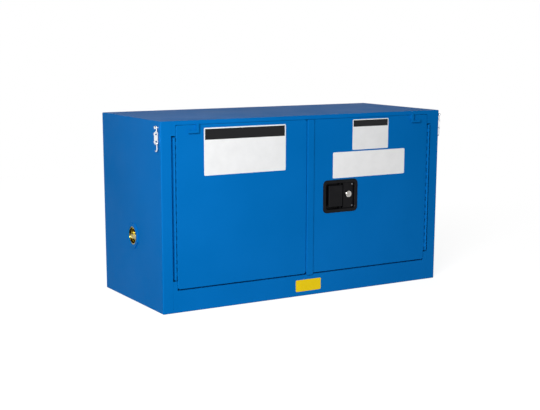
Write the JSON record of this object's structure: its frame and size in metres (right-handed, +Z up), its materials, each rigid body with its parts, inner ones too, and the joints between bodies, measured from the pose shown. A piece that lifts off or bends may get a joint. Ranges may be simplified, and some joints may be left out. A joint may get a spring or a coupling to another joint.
{
  "type": "safety cabinet",
  "caption": "Low double-walled steel safety cabinet with two inset self-closing doors on long hinges, a recessed paddle latch, capped side vents and fusible-link hold-opens.",
  "frame": {"origin": "middle of the cabinet's bottom face", "axes": "+X along the width to the right door, +Y from the doors to the back, +Z up"},
  "size_m": [1.127, 0.467, 0.61],
  "materials": {
    "cabinet_paint": "smooth semi-gloss blue powder coat",
    "inner_paint": "smooth satin blue powder coat",
    "galvanised": "galvanised sheet with fine spangle",
    "bright_zinc": "bright zinc plate",
    "dark_steel": "dulled steel",
    "yellow_zinc": "yellow passivated zinc plate",
    "black_handle": "black satin powder coat",
    "lock_chrome": "bright chrome plate",
    "label_white": "white vinyl, blank of words",
    "label_yellow": "yellow vinyl, blank"
  },
  "bodies": {
    "cabinet": {"outer_top": "cabinet_paint", "outer_bottom": "cabinet_paint", "outer_back": "cabinet_paint", "outer_left_side": "cabinet_paint", "outer_right_side": "cabinet_paint", "left_stile": "cabinet_paint", "right_stile": "cabinet_paint", "left_jamb": "cabinet_paint", "right_jamb": "cabinet_paint", "top_rail": "cabinet_paint", "bottom_sill": "cabinet_paint", "sump_dam": "cabinet_paint", "left_hinge_frame_leaf": "cabinet_paint", "right_hinge_frame_leaf": "cabinet_paint", "hinge_pins": "cabinet_paint", "vent_bushings": "cabinet_paint", "inner_left_side": "inner_paint", "inner_right_side": "inner_paint", "inner_top": "inner_paint", "inner_floor": "inner_paint", "inner_back": "inner_paint", "shelf_standards": "galvanised", "shelf_clips": "galvanised", "link_screws": "bright_zinc", "latch_strikes": "bright_zinc", "flame_arresters": "bright_zinc", "earthing_stud": "yellow_zinc", "sill_label": "label_yellow"},
    "left_door": {"left_door_skin": "cabinet_paint", "left_door_pan": "inner_paint", "left_hinge_door_leaf": "cabinet_paint", "left_hold_open_hook": "cabinet_paint", "left_door_label": "label_white"},
    "right_door": {"right_door_skin": "cabinet_paint", "right_door_pan": "inner_paint", "right_hinge_door_leaf": "cabinet_paint", "right_hold_open_hook": "cabinet_paint", "right_door_upper_label": "label_white", "right_door_lower_label": "label_white", "centre_strip": "cabinet_paint", "handle_dish": "black_handle", "handle_fasteners": "dark_steel", "paddle_pin": "black_handle", "paddle_spring": "bright_zinc", "lock_barrel": "lock_chrome", "bolt_guides": "bright_zinc"},
    "paddle": {"handle_paddle": "black_handle"},
    "lock_plug": {"lock_plug": "lock_chrome"},
    "latch_cam": {"latch_cam": "bright_zinc"},
    "upper_bolt": {"upper_bolt": "bright_zinc"},
    "lower_bolt": {"lower_bolt": "bright_zinc"},
    "shelf": {"shelf": "galvanised"},
    "left_vent_plug": {"left_vent_plug": "yellow_zinc"},
    "left_upper_hook": {"left_upper_link_hook": "bright_zinc"},
    "left_link": {"left_fusible_link": "bright_zinc"},
    "left_lower_hook": {"left_lower_link_hook": "bright_zinc"},
    "right_vent_plug": {"right_vent_plug": "yellow_zinc"},
    "right_upper_hook": {"right_upper_link_hook": "bright_zinc"},
    "right_link": {"right_fusible_link": "bright_zinc"},
    "right_lower_hook": {"right_lower_link_hook": "bright_zinc"}
  },
  "joints": [
    {"name": "left_door_swing", "type": "hinge", "parent": "cabinet", "child": "left_door", "pos_m": [-0.501, -0.2305, 0.3335], "axis": [0, 0, -1], "range_deg": [0, 150], "stiffness_Nm_per_rad": 1.2, "springref_deg": -17.19},
    {"name": "right_door_swing", "type": "hinge", "parent": "cabinet", "child": "right_door", "pos_m": [0.501, -0.2305, 0.3335], "axis": [0, 0, 1], "range_deg": [0, 150], "stiffness_Nm_per_rad": 1.2, "springref_deg": -17.19},
    {"name": "paddle_pull", "type": "hinge", "parent": "right_door", "child": "paddle", "pos_m": [0.131, -0.2205, 0.333], "axis": [0, 0, 1], "range_deg": [0, 24], "stiffness_Nm_per_rad": 0.6, "springref_deg": -11.46},
    {"name": "latch_cam_turn", "type": "hinge", "parent": "right_door", "child": "latch_cam", "pos_m": [0.102, -0.208, 0.333], "axis": [0, 1, 0], "range_deg": [0, 36]},
    {"name": "upper_bolt_slide", "type": "slide", "parent": "right_door", "child": "upper_bolt", "axis": [0, 0, -1], "range_m": [0, 0.01113]},
    {"name": "lower_bolt_slide", "type": "slide", "parent": "right_door", "child": "lower_bolt", "axis": [0, 0, 1], "range_m": [0, 0.01113]},
    {"name": "lock_turn", "type": "hinge", "parent": "right_door", "child": "lock_plug", "pos_m": [0.1607, -0.2295, 0.337], "axis": [0, 1, 0], "range_deg": [0, 90]},
    {"name": "shelf_lift", "type": "slide", "parent": "cabinet", "child": "shelf", "axis": [0, 0, 1], "range_m": [0, 0.05]},
    {"name": "left_vent_plug_turn", "type": "hinge", "parent": "cabinet", "child": "left_vent_plug", "pos_m": [-0.546, -0.008, 0.222], "axis": [-1, 0, 0], "continuous": true},
    {"name": "left_upper_hook_swing", "type": "hinge", "parent": "cabinet", "child": "left_upper_hook", "pos_m": [-0.5555, -0.2165, 0.5915], "axis": [1, 0, 0], "range_deg": [-15, 15]},
    {"name": "left_link_swing", "type": "hinge", "parent": "left_upper_hook", "child": "left_link", "pos_m": [-0.5555, -0.2165, 0.57315], "axis": [0, 1, 0], "range_deg": [-3, 30]},
    {"name": "left_lower_hook_swing", "type": "hinge", "parent": "left_link", "child": "left_lower_hook", "pos_m": [-0.5555, -0.2165, 0.54105], "axis": [1, 0, 0], "range_deg": [-20, 20]},
    {"name": "right_vent_plug_turn", "type": "hinge", "parent": "cabinet", "child": "right_vent_plug", "pos_m": [0.546, -0.008, 0.46], "axis": [1, 0, 0], "continuous": true},
    {"name": "right_upper_hook_swing", "type": "hinge", "parent": "cabinet", "child": "right_upper_hook", "pos_m": [0.5555, -0.2165, 0.5915], "axis": [1, 0, 0], "range_deg": [-15, 15]},
    {"name": "right_link_swing", "type": "hinge", "parent": "right_upper_hook", "child": "right_link", "pos_m": [0.5555, -0.2165, 0.57315], "axis": [0, -1, 0], "range_deg": [-3, 30]},
    {"name": "right_lower_hook_swing", "type": "hinge", "parent": "right_link", "child": "right_lower_hook", "pos_m": [0.5555, -0.2165, 0.54105], "axis": [1, 0, 0], "range_deg": [-20, 20]}
  ],
  "couplings": [
    {"joint": "latch_cam_turn", "follows": "paddle_pull", "ratio": 1.5},
    {"joint": "upper_bolt_slide", "follows": "paddle_pull", "m_per_rad": 0.026558},
    {"joint": "lower_bolt_slide", "follows": "paddle_pull", "m_per_rad": 0.026558}
  ]
}
